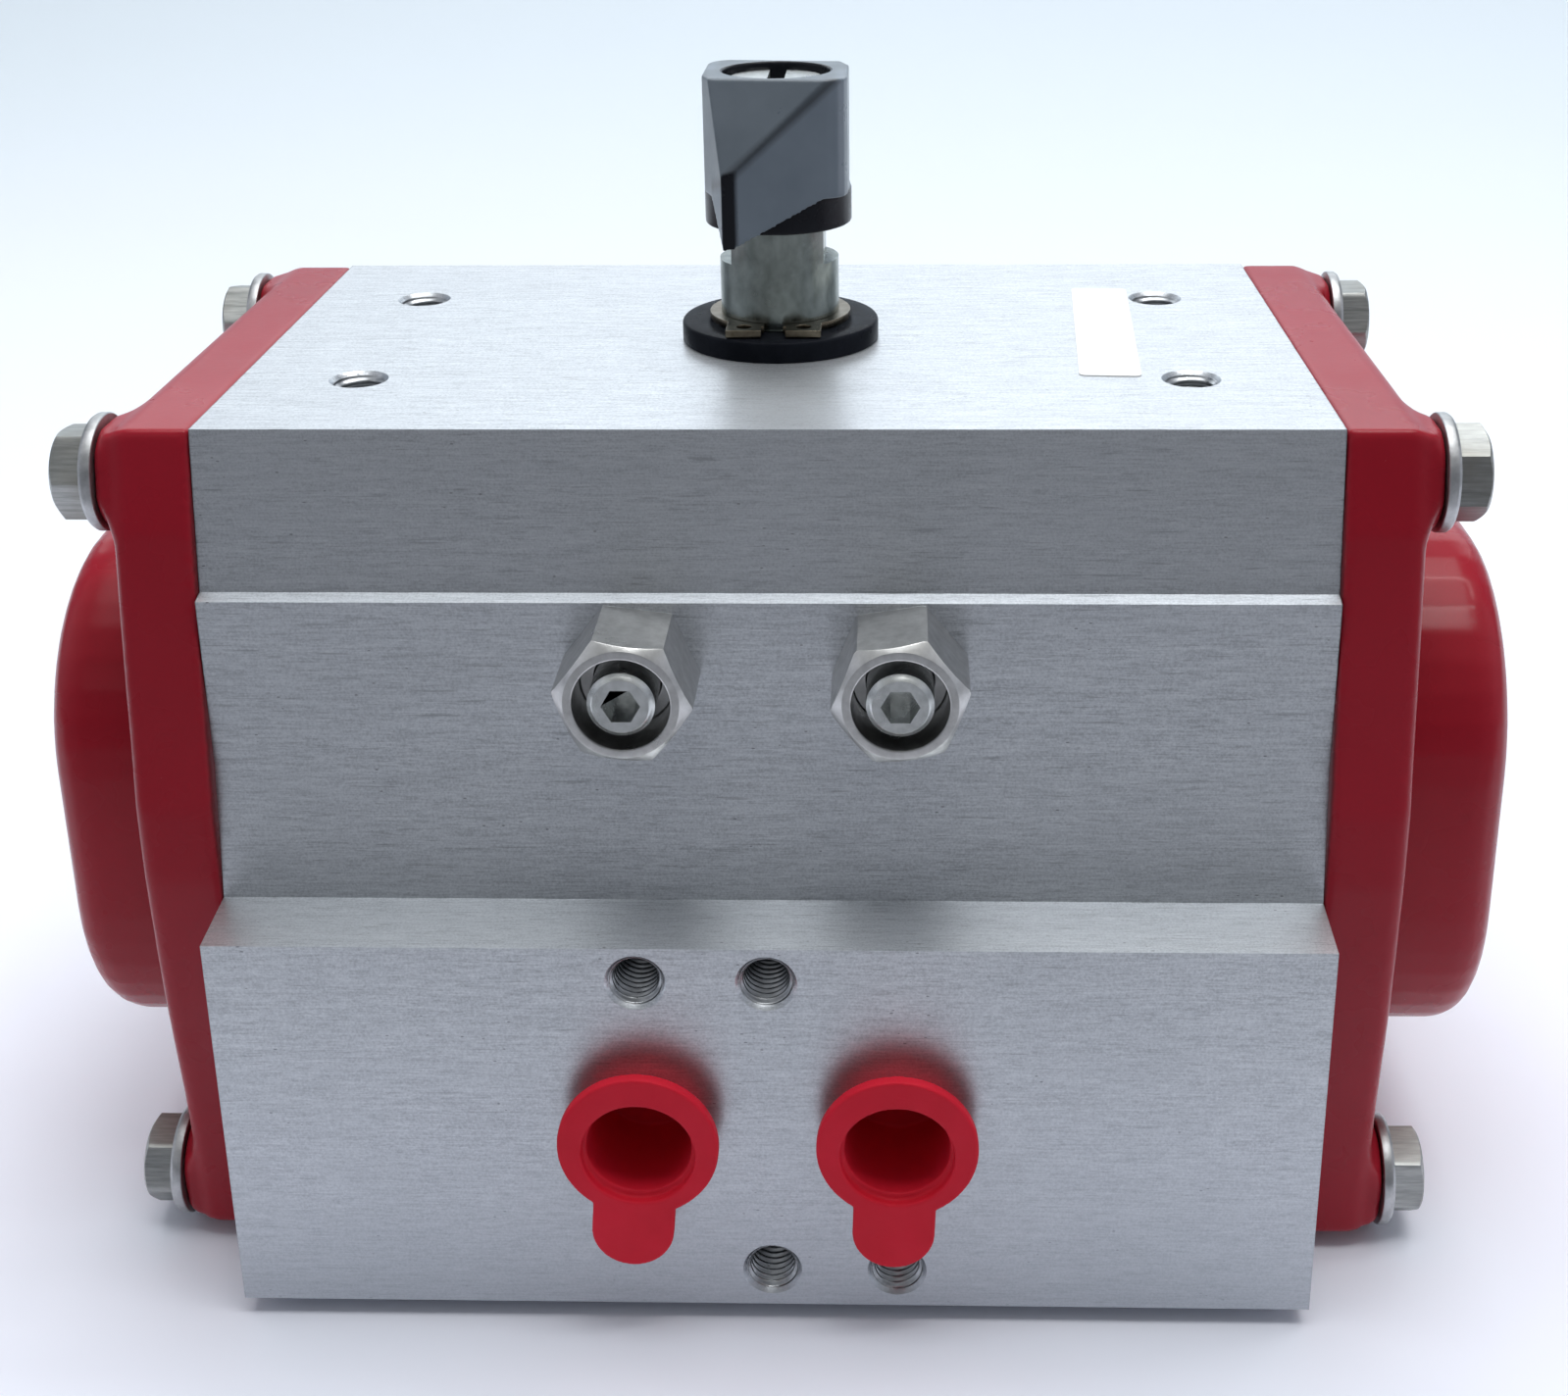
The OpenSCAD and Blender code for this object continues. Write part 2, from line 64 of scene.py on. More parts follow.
for i in range(3):
    m[i][0], m[i][1], m[i][2] = r2[i], u2[i], -fwd[i]
    m[i][3] = (11.622 * MM, -207.447 * MM, 143.921 * MM)[i]
cam.matrix_world = m
scene.camera = cam


# ------------------------------------------------------------------ node helpers
class Tree:
    def __init__(self, name):
        self.m = bpy.data.materials.new(name)
        self.m.use_nodes = True
        self.t = self.m.node_tree
        self.t.nodes.clear()
        self.out = self.t.nodes.new("ShaderNodeOutputMaterial")
        self.b = self.t.nodes.new("ShaderNodeBsdfPrincipled")
        self.t.links.new(self.b.outputs[0], self.out.inputs[0])
        self.tc = self.t.nodes.new("ShaderNodeTexCoord")
        self.geo = None

    def link(self, a, b):
        self.t.links.new(a, b)

    def set(self, **k):
        names = dict(metallic="Metallic", rough="Roughness", ior="IOR", spec="Specular IOR Level", coat="Coat Weight",
                     coat_rough="Coat Roughness", sheen="Sheen Weight", sss="Subsurface Weight", aniso="Anisotropic",
                     trans="Transmission Weight", sss_scale="Subsurface Scale",
                     aniso_rot="Anisotropic Rotation")
        for n, v in k.items():
            if n == "base":
                self.b.inputs["Base Color"].default_value = (*v, 1)
            else:
                self.b.inputs[names[n]].default_value = v
        return self

    def coords(self, scale=(1, 1, 1), rot=(0, 0, 0), loc=(0, 0, 0)):
        mp = self.t.nodes.new("ShaderNodeMapping")
        mp.inputs["Scale"].default_value = scale
        mp.inputs["Rotation"].default_value = rot
        mp.inputs["Location"].default_value = loc
        self.link(self.tc.outputs["Object"], mp.inputs["Vector"])
        return mp.outputs[0]

    def noise(self, scale, detail=3.0, rough=0.5, vec=None, dist=0.0):
        n = self.t.nodes.new("ShaderNodeTexNoise")
        n.inputs["Detail"].default_value = detail
        n.inputs["Roughness"].default_value = rough
        n.inputs["Distortion"].default_value = dist
        if isinstance(scale, (int, float)):
            n.inputs["Scale"].default_value = scale
            self.link(vec if vec is not None else self.tc.outputs["Object"], n.inputs["Vector"])
        else:
            n.inputs["Scale"].default_value = 1.0
            self.link(self.coords(scale), n.inputs["Vector"])
        return n.outputs[0]

    def voronoi(self, scale, feature="F1", rnd=1.0):
        n = self.t.nodes.new("ShaderNodeTexVoronoi")
        n.feature = feature
        n.inputs["Randomness"].default_value = rnd
        if isinstance(scale, (int, float)):
            n.inputs["Scale"].default_value = scale
            self.link(self.tc.outputs["Object"], n.inputs["Vector"])
        else:
            n.inputs["Scale"].default_value = 1.0
            self.link(self.coords(scale), n.inputs["Vector"])
        return n

    def ramp(self, fac, stops, interp="LINEAR"):
        r = self.t.nodes.new("ShaderNodeValToRGB")
        r.color_ramp.interpolation = interp
        e = r.color_ramp.elements
        while len(e) < len(stops):
            e.new(0.5)
        for el, (p, c) in zip(e, stops):
            el.position = p
            el.color = (*c, 1) if not isinstance(c, (int, float)) else (c, c, c, 1)
        self.link(fac, r.inputs[0])
        return r.outputs[0]

    def mix(self, fac, a, b, mode="MIX"):
        n = self.t.nodes.new("ShaderNodeMix")
        n.data_type = "RGBA"
        n.blend_type = mode
        for s, v in ((n.inputs[0], fac), (n.inputs[6], a), (n.inputs[7], b)):
            if hasattr(v, "links"):
                self.link(v, s)
            elif isinstance(v, (int, float)):
                s.default_value = v if s is n.inputs[0] else (v, v, v, 1)
            else:
                s.default_value = (*v, 1)
        return n.outputs[2]

    def math(self, op, a, b=0.0, clamp=False):
        n = self.t.nodes.new("ShaderNodeMath")
        n.operation = op
        n.use_clamp = clamp
        for s, v in ((n.inputs[0], a), (n.inputs[1], b)):
            if hasattr(v, "links"):
                self.link(v, s)
            else:
                s.default_value = v
        return n.outputs[0]

    def maprange(self, v, a, b, c, d):
        n = self.t.nodes.new("ShaderNodeMapRange")
        self.link(v, n.inputs[0])
        for i, x in zip((1, 2, 3, 4), (a, b, c, d)):
            n.inputs[i].default_value = x
        return n.outputs[0]

    def position(self):
        s = self.t.nodes.new("ShaderNodeSeparateXYZ")
        self.link(self.tc.outputs["Object"], s.inputs[0])
        return s.outputs

    def normal(self):
        if self.geo is None:
            self.geo = self.t.nodes.new("ShaderNodeNewGeometry")
        s = self.t.nodes.new("ShaderNodeSeparateXYZ")
        self.link(self.tc.outputs["Normal"], s.inputs[0])
        return s.outputs

    def bump(self, height, dist, strength=1.0, prev=None):
        n = self.t.nodes.new("ShaderNodeBump")
        n.inputs["Strength"].default_value = strength
        n.inputs["Distance"].default_value = dist
        self.link(height, n.inputs["Height"])
        if prev is not None:
            self.link(prev, n.inputs["Normal"])
        return n.outputs[0]

    def done(self, base=None, rough=None, normal=None):
        if base is not None:
            self.link(base, self.b.inputs["Base Color"])
        if rough is not None:
            self.link(rough, self.b.inputs["Roughness"])
        if normal is not None:
            self.link(normal, self.b.inputs["Normal"])
        return self.m


def brushed_aluminium():
    t = Tree("brushed_aluminium").set(metallic=1.0, rough=0.38, aniso=0.6)
    tang = t.t.nodes.new("ShaderNodeCombineXYZ")
    tang.inputs[1].default_value = 1.0
    tang.inputs[2].default_value = 1.0
    t.link(tang.outputs[0], t.b.inputs["Tangent"])
    fine = t.noise((420, 5600, 5600), 2.0, 0.7)
    mid = t.noise((130, 2300, 2300), 3.0, 0.65)
    grain = t.noise(4600, 2.0, 0.6)
    cloud = t.noise((30, 60, 60), 4.0, 0.55)
    s = t.math("ADD", t.math("MULTIPLY", fine, 0.36), t.math("MULTIPLY", mid, 0.24))
    s = t.math("ADD", s, t.math("MULTIPLY", grain, 0.40))
    col = t.ramp(s, [(0.37, (0.43, 0.45, 0.475)), (0.5, (0.60, 0.625, 0.655)), (0.63, (0.74, 0.765, 0.79))])
    col = t.mix(t.maprange(cloud, 0.35, 0.7, 0.0, 0.22), col, (0.54, 0.565, 0.60))
    # short dark marks left by the brush
    line = t.noise((240, 4400, 4400), 1.0, 0.4)
    ln = t.maprange(line, 0.67, 0.75, 0.0, 0.40)
    col = t.mix(ln, col, (0.22, 0.23, 0.25))
    # handling nicks: short, dark, sparse
    nick = t.voronoi((520, 1300, 1300))
    pick = t.noise(150, 1.0, 0.5)
    nk = t.math("MULTIPLY", t.math("LESS_THAN", nick.outputs["Distance"], 0.085), t.math("GREATER_THAN", pick, 0.60))
    col = t.mix(t.math("MULTIPLY", nk, 0.75), col, (0.15, 0.155, 0.17))
    # grime along the joints with the caps and in the corners of the ledges
    x, y, z = t.position()
    ax = t.math("ABSOLUTE", x)
    wob = t.maprange(t.noise(900, 3.0, 0.6), 0.3, 0.7, -0.00004, 0.00004)
    edge = t.maprange(t.math("ADD", ax, wob), 0.05158, 0.05172, 0.0, 0.8)
    edge = t.math("MULTIPLY", edge, t.maprange(z, 0.052, 0.064, 0.25, 1.0))
    # only on the long faces, never on the bare end face
    edge = t.math("MULTIPLY", edge, t.maprange(t.math("ABSOLUTE", t.normal()[0]), 0.3, 0.6, 1.0, 0.0))
    col = t.mix(edge, col, (0.05, 0.05, 0.055))
    # painted shade: darker towards the foot, standing in for the shadowed floor that the lower faces reflect
    painted_foot_shade = t.maprange(t.math("ADD", z, t.math("MULTIPLY", cloud, 0.012)), 0.006, 0.046, 0.72, 0.0)
    col = t.mix(painted_foot_shade, col, (0.38, 0.40, 0.43))
    rough = t.maprange(s, 0.3, 0.7, 0.45, 0.33)
    rough = t.math("ADD", rough, t.math("MULTIPLY", t.math("SUBTRACT", cloud, 0.5), 0.08))
    n = t.bump(s, 0.00004, 0.45)
    n = t.bump(t.math("SUBTRACT", 1.0, nk), 0.00006, 0.5, n)
    return t.done(col, rough, n)


def red_enamel():
    t = Tree("red_enamel").set(base=(0.36, 0.012, 0.025), metallic=0.0, rough=0.30, ior=1.22, coat=0.16, coat_rough=0.14)
    peel = t.noise(1500, 2.0, 0.5)
    cloud = t.noise(30, 3.0, 0.5)
    col = t.ramp(cloud, [(0.3, (0.310, 0.010, 0.020)), (0.7, (0.352, 0.013, 0.026))])
    g = t.noise(2600, 2.0, 0.6)
    col = t.mix(t.maprange(g, 0.35, 0.65, 0.0, 0.16), col, (0.22, 0.012, 0.022))
    speck = t.voronoi(1100)
    pick = t.noise(210, 1.0)
    sp = t.math("MULTIPLY", t.math("LESS_THAN", speck.outputs["Distance"], 0.10), t.math("GREATER_THAN", pick, 0.70))
    col = t.mix(t.math("MULTIPLY", sp, 0.22), col, (0.50, 0.16, 0.17))
    # grime where the cap meets the body
    x, y, z = t.position()
    wob = t.maprange(t.noise(900, 3.0, 0.6), 0.3, 0.7, -0.00004, 0.00004)
    edge = t.maprange(t.math("ADD", t.math("ABSOLUTE", x), wob), 0.05196, 0.05178, 0.0, 0.6)
    col = t.mix(edge, col, (0.03, 0.012, 0.012))
    rough = t.maprange(t.noise(90, 3.0, 0.6), 0.3, 0.7, 0.24, 0.32)
    n = t.bump(peel, 0.00005, 0.16)
    return t.done(col, rough, n)


def indicator_plastic():
    """Satin wedge faces with painted light and shade: the two facets coloured apart, a painted dark crease, and a
    painted near-black nose, collar and cup. Heights are taken from the part's own top face.
    """
    t = Tree("gloss_black_plastic").set(metallic=0.0, rough=0.3, ior=1.5)
    vs = nodes["position_indicator"].data.vertices
    ox = (max(v.co.x for v in vs) + min(v.co.x for v in vs)) / 2
    oy = (max(v.co.y for v in vs) + min(v.co.y for v in vs)) / 2
    top = max(v.co.z for v in vs)
    x, y, z = t.position()
    x, y, z = t.math("SUBTRACT", x, ox), t.math("SUBTRACT", y, oy), t.math("SUBTRACT", z, top - 0.1123)
    g = t.noise(1700, 3.0, 0.6)
    c = t.noise(160, 3.0, 0.6)
    ay = t.math("ABSOLUTE", y)
    rr = t.math("SQRT", t.math("ADD", t.math("MULTIPLY", x, x), t.math("MULTIPLY", y, y)))
    # the crease of each wedge runs as a straight line in height against x
    sx = t.math("MULTIPLY", x, t.math("MULTIPLY", t.math("SIGN", y), -1.0))
    zl = t.math("ADD", 0.10715, t.math("MULTIPLY", sx, 0.859))
    off = t.math("SUBTRACT", z, zl)
    upper = t.maprange(off, -0.0003, 0.0003, 0.0, 1.0)
    # painted light and shade: the wedge facet above the crease is coloured darker than the facet below it
    shaded_upper_facet_colour = t.ramp(c, [(0.3, (0.115, 0.140, 0.165)), (0.7, (0.140, 0.168, 0.196))])
    lit_lower_facet_colour = t.ramp(c, [(0.3, (0.150, 0.184, 0.222)), (0.7, (0.182, 0.220, 0.262))])
    col = t.mix(upper, lit_lower_facet_colour, shaded_upper_facet_colour)
    # painted shade: a dark line along the crease between the wedge facets, standing in for a dark reflection
    painted_crease_shade = t.maprange(t.math("ABSOLUTE", off), 0.0001, 0.0010, 0.70, 0.0)
    painted_crease_shade = t.math("MULTIPLY", painted_crease_shade, t.math("GREATER_THAN", ay, 0.0058))
    col = t.mix(painted_crease_shade, col, (0.022, 0.025, 0.030))
    # painted shade and reflection: the nose, the collar under the beak and the inside of the cup are made near black
    low = t.maprange(z, 0.1006, 0.1009, 1.0, 0.0)
    round_part = t.maprange(rr, 0.00745, 0.00755, 1.0, 0.0)
    collar = t.math("MULTIPLY", low, round_part)
    nose = t.maprange(ay, 0.00932, 0.00946, 0.0, 1.0)
    cup = t.maprange(rr, 0.00560, 0.00550, 0.0, 1.0)
    m = t.math("MAXIMUM", t.math("MAXIMUM", collar, nose), cup)
    col = t.mix(m, col, (0.011, 0.012, 0.016))
    r = t.maprange(t.noise(240, 4.0, 0.6), 0.3, 0.7, 0.27, 0.36)
    r = t.math("SUBTRACT", r, t.math("MULTIPLY", m, 0.06))
    t.link(t.maprange(m, 0.0, 1.0, 0.5, 0.16), t.b.inputs["Specular IOR Level"])
    n = t.bump(g, 0.00003, 0.35)
    return t.done(col, r, n)


def steel(name, lo, hi, rough=(0.28, 0.42), scale=(900, 900, 900), bump=0.00004, metallic=1.0, stain=None):
    t = Tree(name).set(metallic=metallic, rough=sum(rough) / 2)
    a = t.noise(scale, 4.0, 0.6)
    b = t.noise(120, 4.0, 0.6)
    col = t.ramp(a, [(0.3, lo), (0.7, hi)])
    if stain:
        col = t.mix(t.maprange(b, 0.52, 0.72, 0.0, 0.7), col, stain)
    r = t.maprange(b, 0.3, 0.7, rough[0], rough[1])
    n = t.bump(a, bump, 0.5)
    n = t.bump(t.noise(260, 3.0, 0.5), 0.00012, 0.25, n)
    return t.done(col, r, n)


def plastic(name, lo, hi, rough=(0.35, 0.45), grain=1600, bump=0.00003, ior=1.46, sss=0.0, coat=0.0, strength=0.35):
    t = Tree(name).set(metallic=0.0, rough=sum(rough) / 2, ior=ior)
    if sss:
        t.set(sss=sss, sss_scale=0.0008)
    if coat:
        t.set(coat=coat, coat_rough=0.06)
    g = t.noise(grain, 3.0, 0.6)
    c = t.noise(140, 3.0, 0.6)
    col = t.ramp(c, [(0.3, lo), (0.7, hi)])
    r = t.maprange(t.noise(220, 4.0, 0.6), 0.3, 0.7, rough[0], rough[1])
    n = t.bump(g, bump, strength)
    return t.done(col, r, n)


MAT = {
    "brushed_aluminium": brushed_aluminium(),
    "red_enamel": red_enamel(),
    "nitrile_rubber": plastic("nitrile_rubber", (0.012, 0.012, 0.012), (0.03, 0.03, 0.03), (0.4, 0.55)),
    "stainless_steel": steel("stainless_steel", (0.25, 0.26, 0.25), (0.43, 0.435, 0.425), (0.36, 0.50), scale=(240, 3000, 3000),
                             stain=(0.28, 0.27, 0.24)),
    "washer_steel": steel("washer_steel", (0.38, 0.385, 0.39), (0.55, 0.555, 0.56), (0.38, 0.50)),
    "nickel_plated_steel": steel("nickel_plated_steel", (0.20, 0.225, 0.205), (0.34, 0.375, 0.35), (0.18, 0.30),
                                 scale=(700, 700, 420), stain=(0.20, 0.21, 0.19)),
    "bearing_plastic": plastic("bearing_plastic", (0.70, 0.68, 0.62), (0.80, 0.78, 0.72), (0.4, 0.55), sss=0.1),
    "black_plastic": plastic("black_plastic", (0.007, 0.008, 0.011), (0.016, 0.018, 0.024), (0.22, 0.34), grain=2400,
                             bump=0.00002, ior=1.09),
    "yellow_zinc_steel": steel("yellow_zinc_steel", (0.13, 0.108, 0.075), (0.25, 0.215, 0.16), (0.24, 0.36), stain=(0.10, 0.08, 0.055)),
    "gloss_black_plastic": indicator_plastic(),
    "zinc_plated_steel": steel("zinc_plated_steel", (0.52, 0.54, 0.53), (0.74, 0.76, 0.75), (0.22, 0.34)),
    "cast_aluminium": steel("cast_aluminium", (0.55, 0.56, 0.58), (0.72, 0.73, 0.75), (0.4, 0.55), bump=0.00012),
    "turned_stainless": steel("turned_stainless", (0.52, 0.52, 0.51), (0.68, 0.68, 0.67), (0.26, 0.38)),
    "red_plastic": plastic("red_plastic", (0.58, 0.011, 0.028), (0.66, 0.014, 0.036), (0.50, 0.64), grain=2600, bump=0.00005,
                           ior=1.26, sss=0.10, strength=0.5),
    "label_film": plastic("label_film", (0.84, 0.84, 0.82), (0.88, 0.88, 0.86), (0.45, 0.55)),
    "turned_aluminium": steel("turned_aluminium", (0.60, 0.62, 0.64), (0.78, 0.80, 0.82), (0.25, 0.38)),
}
slot_of = {s["node"]: s["material_slot"] for s in frame["record"]["subparts"]}
body_of = {n: b for b, ns in frame["record"]["behaviour"]["bodies"].items() for n in ns}


def give(ob, mat):
    ob.data.materials.clear()
    ob.data.materials.append(mat)
    for p in ob.data.polygons:
        p.material_index = 0


for n, ob in nodes.items():
    give(ob, MAT[slot_of[n]])


# ------------------------------------------------------------------ mesh helpers
def obj_from(name, verts, faces, mat, node=None, body=None, slot=None, smooth=True, sharp=None):
    me = bpy.data.meshes.new(name)
    me.from_pydata([tuple(v) for v in verts], [], faces)
    me.validate()
    ob = bpy.data.objects.new(name, me)
    scene.collection.objects.link(ob)
    bm = bmesh.new()
    bm.from_mesh(me)
    bmesh.ops.remove_doubles(bm, verts=bm.verts, dist=1e-7)
    bmesh.ops.recalc_face_normals(bm, faces=bm.faces)
    bm.to_mesh(me)
    bm.free()
    for p in me.polygons:
        p.use_smooth = smooth
    if sharp:
        me.set_sharp_from_angle(angle=math.radians(sharp))
    me.materials.append(mat)
    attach(ob, body or body_of[node])
    return ob


def copy_node(node, name=None, dissolve=True):
    src = nodes[node]
    me = src.data.copy()
    ob = bpy.data.objects.new(name or ("vis_" + node), me)
    scene.collection.objects.link(ob)
    bm = bmesh.new()
    bm.from_mesh(me)
    bmesh.ops.remove_doubles(bm, verts=bm.verts, dist=2e-6)
    if dissolve:
        bmesh.ops.dissolve_limit(bm, angle_limit=math.radians(0.6), verts=bm.verts, edges=bm.edges)
    bm.to_mesh(me)
    bm.free()
    if me.has_custom_normals:
        bpy.context.view_layer.objects.active = ob
        with bpy.context.temp_override(object=ob, active_object=ob, selected_objects=[ob]):
            bpy.ops.mesh.customdata_custom_splitnormals_clear()
    for p in me.polygons:
        p.use_smooth = True
    give(ob, MAT[slot_of[node]])
    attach(ob, body_of[node])
    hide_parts(node)
    return ob


def bake_modifiers(ob):
    dg = bpy.context.evaluated_depsgraph_get()
    e = ob.evaluated_get(dg)
    me = bpy.data.meshes.new_from_object(e, preserve_all_data_layers=False, depsgraph=dg)
    old = ob.data
    ob.modifiers.clear()
    ob.data = me
    bpy.data.meshes.remove(old)
    for p in ob.data.polygons:
        p.use_smooth = True
    return ob


def bevel(ob, width, segs=2, angle=28, bake=True):
    b = ob.modifiers.new("edge", "BEVEL")
    b.width = width * MM
    b.segments = segs
    b.limit_method = "ANGLE"
    b.angle_limit = math.radians(angle)
    b.use_clamp_overlap = True
    b.harden_normals = False
    w = ob.modifiers.new("wn", "WEIGHTED_NORMAL")
    w.keep_sharp = True
    w.weight = 80
    return ob


def soften(ob, voxel, iters=6, factor=0.5):
    r = ob.modifiers.new("re", "REMESH")
    r.mode = "VOXEL"
    r.voxel_size = voxel * MM
    r.use_smooth_shade = True
    s = ob.modifiers.new("sm", "SMOOTH")
    s.factor = factor
    s.iterations = iters
    return bake_modifiers(ob)


# ------------------------------------------------------------------ housing
housing = copy_node("body_housing")
bevel(housing, 0.26, 3, 24)

def thread_sleeve(name, pos, axis, r_major, pitch, depth, body="housing", mat=None, slot="brushed_aluminium", thread=None):
    """A tapped wall: the inside carries the helical thread, the outside lies in the plain hole."""
    axis = Vector(axis).normalized()
    a = axis.orthogonal().normalized()
    b = axis.cross(a)
    th = thread or 0.54 * pitch
    nseg, per = 56, 8
    rows = int(depth / pitch * per)
    verts, faces = [], []
    for j in range(rows + 1):
        t = depth * j / rows
        fade = min(1.0, t / (0.5 * pitch)) * min(1.0, (depth - t) / (0.6 * pitch))
        for i in range(nseg):
            u = 2 * math.pi * i / nseg
            ph = (t / pitch - i / nseg) % 1.0
            tri = 1 - abs(2 * ph - 1)
            h = min(1.0, max(0.0, (tri - 0.12) / 0.72))
            r = r_major - 0.02 - th * h * fade
            p = Vector(pos) + (a * math.cos(u) + b * math.sin(u)) * r - axis * t
            verts.append(p * MM)
    base = len(verts)
    for j in (0, rows):
        t = depth * j / rows
        for i in range(nseg):
            u = 2 * math.pi * i / nseg
            p = Vector(pos) + (a * math.cos(u) + b * math.sin(u)) * (r_major - 0.004) - axis * t
            verts.append(p * MM)
    for j in range(rows):
        for i in range(nseg):
            k = (i + 1) % nseg
            faces.append((j * nseg + i, j * nseg + k, (j + 1) * nseg + k, (j + 1) * nseg + i))
    for i in range(nseg):
        k = (i + 1) % nseg
        faces.append((i, base + i, base + k, k))
        faces.append((base + i, base + nseg + i, base + nseg + k, base + k))
        faces.append((rows * nseg + i, rows * nseg + k, base + nseg + k, base + nseg + i))
    return obj_from(name, verts, faces, mat or MAT["thread_aluminium"], body=body, slot=slot)


# darker than the housing aluminium: painted shade for the inside of the tapped holes
MAT["thread_aluminium"] = steel("thread_aluminium", (0.32, 0.33, 0.34), (0.52, 0.54, 0.56), (0.24, 0.38))
k = 0
for x, z in ((-12, 36.1), (0, 36.1), (0, 4.1), (12, 4.1)):
    thread_sleeve("pad_thread_%d" % k, (x, -43.05, z), (0, -1, 0), 2.5, 0.8, 7.5)
    k += 1
k = 0
for x in (-40, 40):
    for y in (-15, 15):
        thread_sleeve("top_thread_%d" % k, (x, y, 84.75), (0, 0, 1), 2.5, 0.8, 8.5)
        k += 1
k = 0
for a in (45, 135, 225, 315):
    x, y = 25 * math.cos(math.radians(a)), 25 * math.sin(math.radians(a))
    thread_sleeve("flange_thread_%d" % k, (x, y, 0.15), (0, 0, -1), 3.0, 1.0, 8.6)
    k += 1

# ------------------------------------------------------------------ end caps
for side in ("left", "right"):
    cap = copy_node("end_cap_" + side, dissolve=False)
    soften(cap, 0.34, 12, 0.6)


# ------------------------------------------------------------------ hexagon work
def hex_solid(name, node, origin, axis, af, h, chamfer_r, bore=0.0, bore_depth=None, through=0.0, rot=0.0, mat=None,
              both=False, slot=None, dish=0.0, seg=96, ab=None, slope=30.0):
    """Hexagon with the turned chamfer; grows from origin along axis. Closed profile swept with the hexagon's own radius."""
    ax = Vector(axis).normalized()
    a = Vector(ab[0]) if ab else ax.orthogonal().normalized()
    b = Vector(ab[1]) if ab else ax.cross(a)
    verts, faces, rings = [], [], []

    def rhex(u):
        w = (u - rot) % (math.pi / 3) - math.pi / 6
        return af / 2 / math.cos(w)

    def ring(f):
        start = len(verts)
        for i in range(seg):
            u = 2 * math.pi * i / seg
            r, t = f(u)
            verts.append((Vector(origin) + (a * math.cos(u) + b * math.sin(u)) * r + ax * t) * MM)
        rings.append(start)
    tan = math.tan(math.radians(slope))
    e = 0.12
    if both:
        ring(lambda u: (chamfer_r - 0.4, 0.0))
        ring(lambda u: (min(rhex(u), chamfer_r), 0.0))
        ring(lambda u: (rhex(u), max(0.0, rhex(u) - chamfer_r) * tan + 0.02))
    else:
        ring(lambda u: (min(rhex(u) - 0.25, 90), 0.0))
        ring(lambda u: (rhex(u) - e * 0.5, 0.0))
        ring(lambda u: (rhex(u), e * 0.5))
    zc = lambda u: h - max(0.0, rhex(u) - chamfer_r) * tan
    ring(lambda u: (rhex(u), zc(u) - 0.22))
    ring(lambda u: (rhex(u), zc(u) - 0.07))
    ring(lambda u: (rhex(u) - 0.06, zc(u) + 0.0))
    ring(lambda u: (min(rhex(u) - 0.1, chamfer_r + 0.05), h - 0.03))
    ring(lambda u: (min(rhex(u) - 0.14, chamfer_r - 0.12), h))
    if bore:
        ring(lambda u: (bore + 0.16, h))
        ring(lambda u: (bore + 0.05, h - 0.05))
        ring(lambda u: (bore, h - 0.18))
        ring(lambda u: (bore, h - bore_depth + 0.1))
        ring(lambda u: (bore - 0.1, h - bore_depth))
        ring(lambda u: (through + 0.02, h - bore_depth - 0.02))
        ring(lambda u: (through, h - bore_depth - 0.1))
        ring(lambda u: (through, 0.0))
        closed = True
    else:
        ring(lambda u: (chamfer_r * 0.55, h - dish))
        ring(lambda u: (0.02, h - dish))
        closed = False
    for p, q in zip(rings, rings[1:]):
        for i in range(seg):
            j = (i + 1) % seg
            faces.append((p + i, p + j, q + j, q + i))
    if closed:
        p, q = rings[-1], rings[0]
        for i in range(seg):
            j = (i + 1) % seg
            faces.append((p + i, p + j, q + j, q + i))
    else:
        faces.append(tuple(rings[-1] + i for i in range(seg)))
        faces.append(tuple(rings[0] + i for i in reversed(range(seg))))
    return verts, faces


def revolve(profile, origin, axis, seg=96, closed=True, hole=None):
    """Profile of (radius, height) pairs swept round the axis."""
    ax = Vector(axis).normalized()
    a = ax.orthogonal().normalized()
    b = ax.cross(a)
    verts, faces = [], []
    for r, t in profile:
        for i in range(seg):
            u = 2 * math.pi * i / seg
            verts.append((Vector(origin) + (a * math.cos(u) + b * math.sin(u)) * max(r, 0.0) + ax * t) * MM)
    n = len(profile)
    for j in range(n if closed else n - 1):
        p, q = j * seg, ((j + 1) % n) * seg
        for i in range(seg):
            k = (i + 1) % seg
            faces.append((p + i, p + k, q + k, q + i))
    if not closed:
        faces.append(tuple(range(seg)))
        faces.append(tuple((n - 1) * seg + i for i in reversed(range(seg))))
    return verts, faces


def join(parts):
    V, F = [], []
    for v, f in parts:
        o = len(V)
        V += list(v)
        F += [tuple(i + o for i in g) for g in f]
    return V, F


